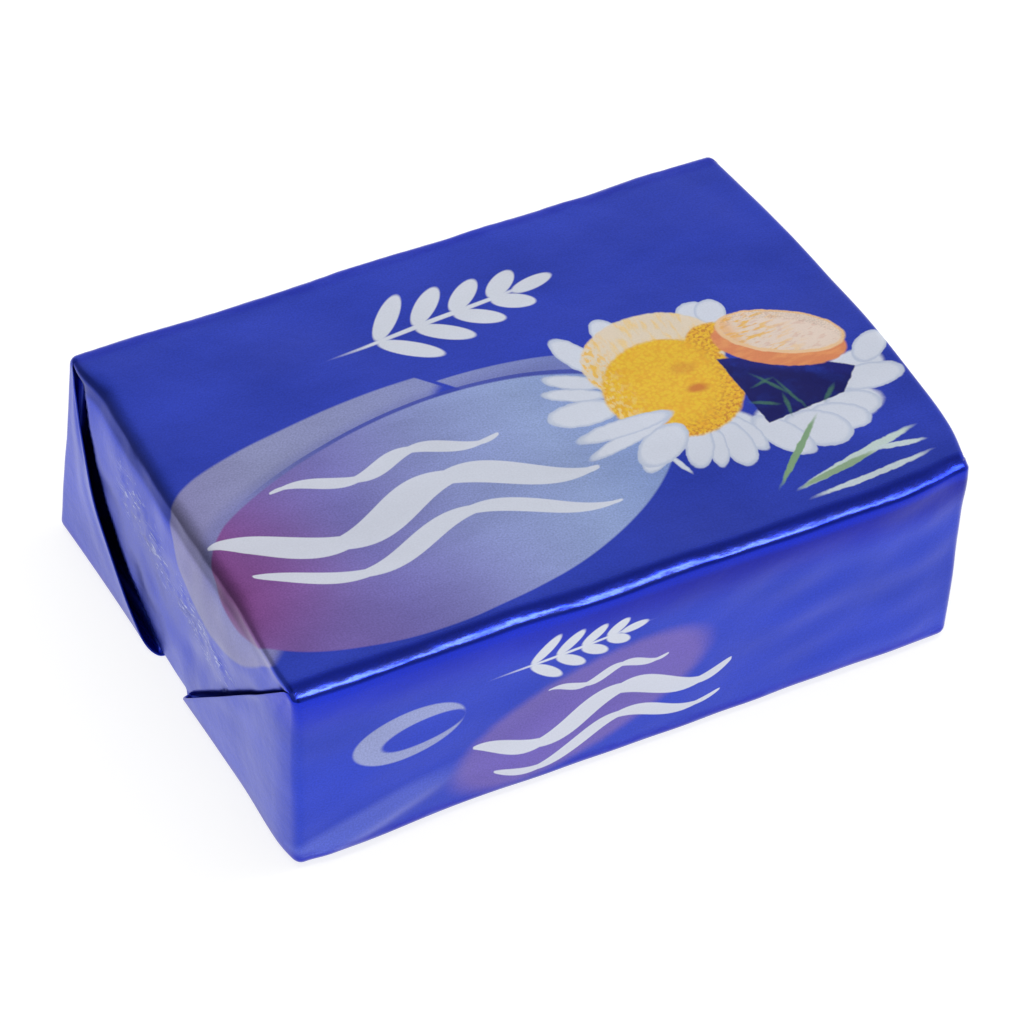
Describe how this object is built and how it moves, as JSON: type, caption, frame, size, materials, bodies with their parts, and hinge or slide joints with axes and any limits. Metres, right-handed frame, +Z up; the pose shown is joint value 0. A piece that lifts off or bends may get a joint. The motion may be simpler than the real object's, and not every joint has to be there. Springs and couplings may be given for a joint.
{
  "type": "wrapped butter block",
  "caption": "Rectangular block of butter shut in one folded sheet of printed blue foil, with folded ears at both ends.",
  "frame": {"origin": "middle of the base, on the plane that the block rests on", "axes": "+X along the length towards the right end, +Y towards the back long side, +Z up through the top panel"},
  "size_m": [0.1098, 0.076, 0.034],
  "materials": {
    "foil": "satin printed foil"
  },
  "bodies": {
    "root": {"wrapped_block": "foil"}
  },
  "joints": []
}
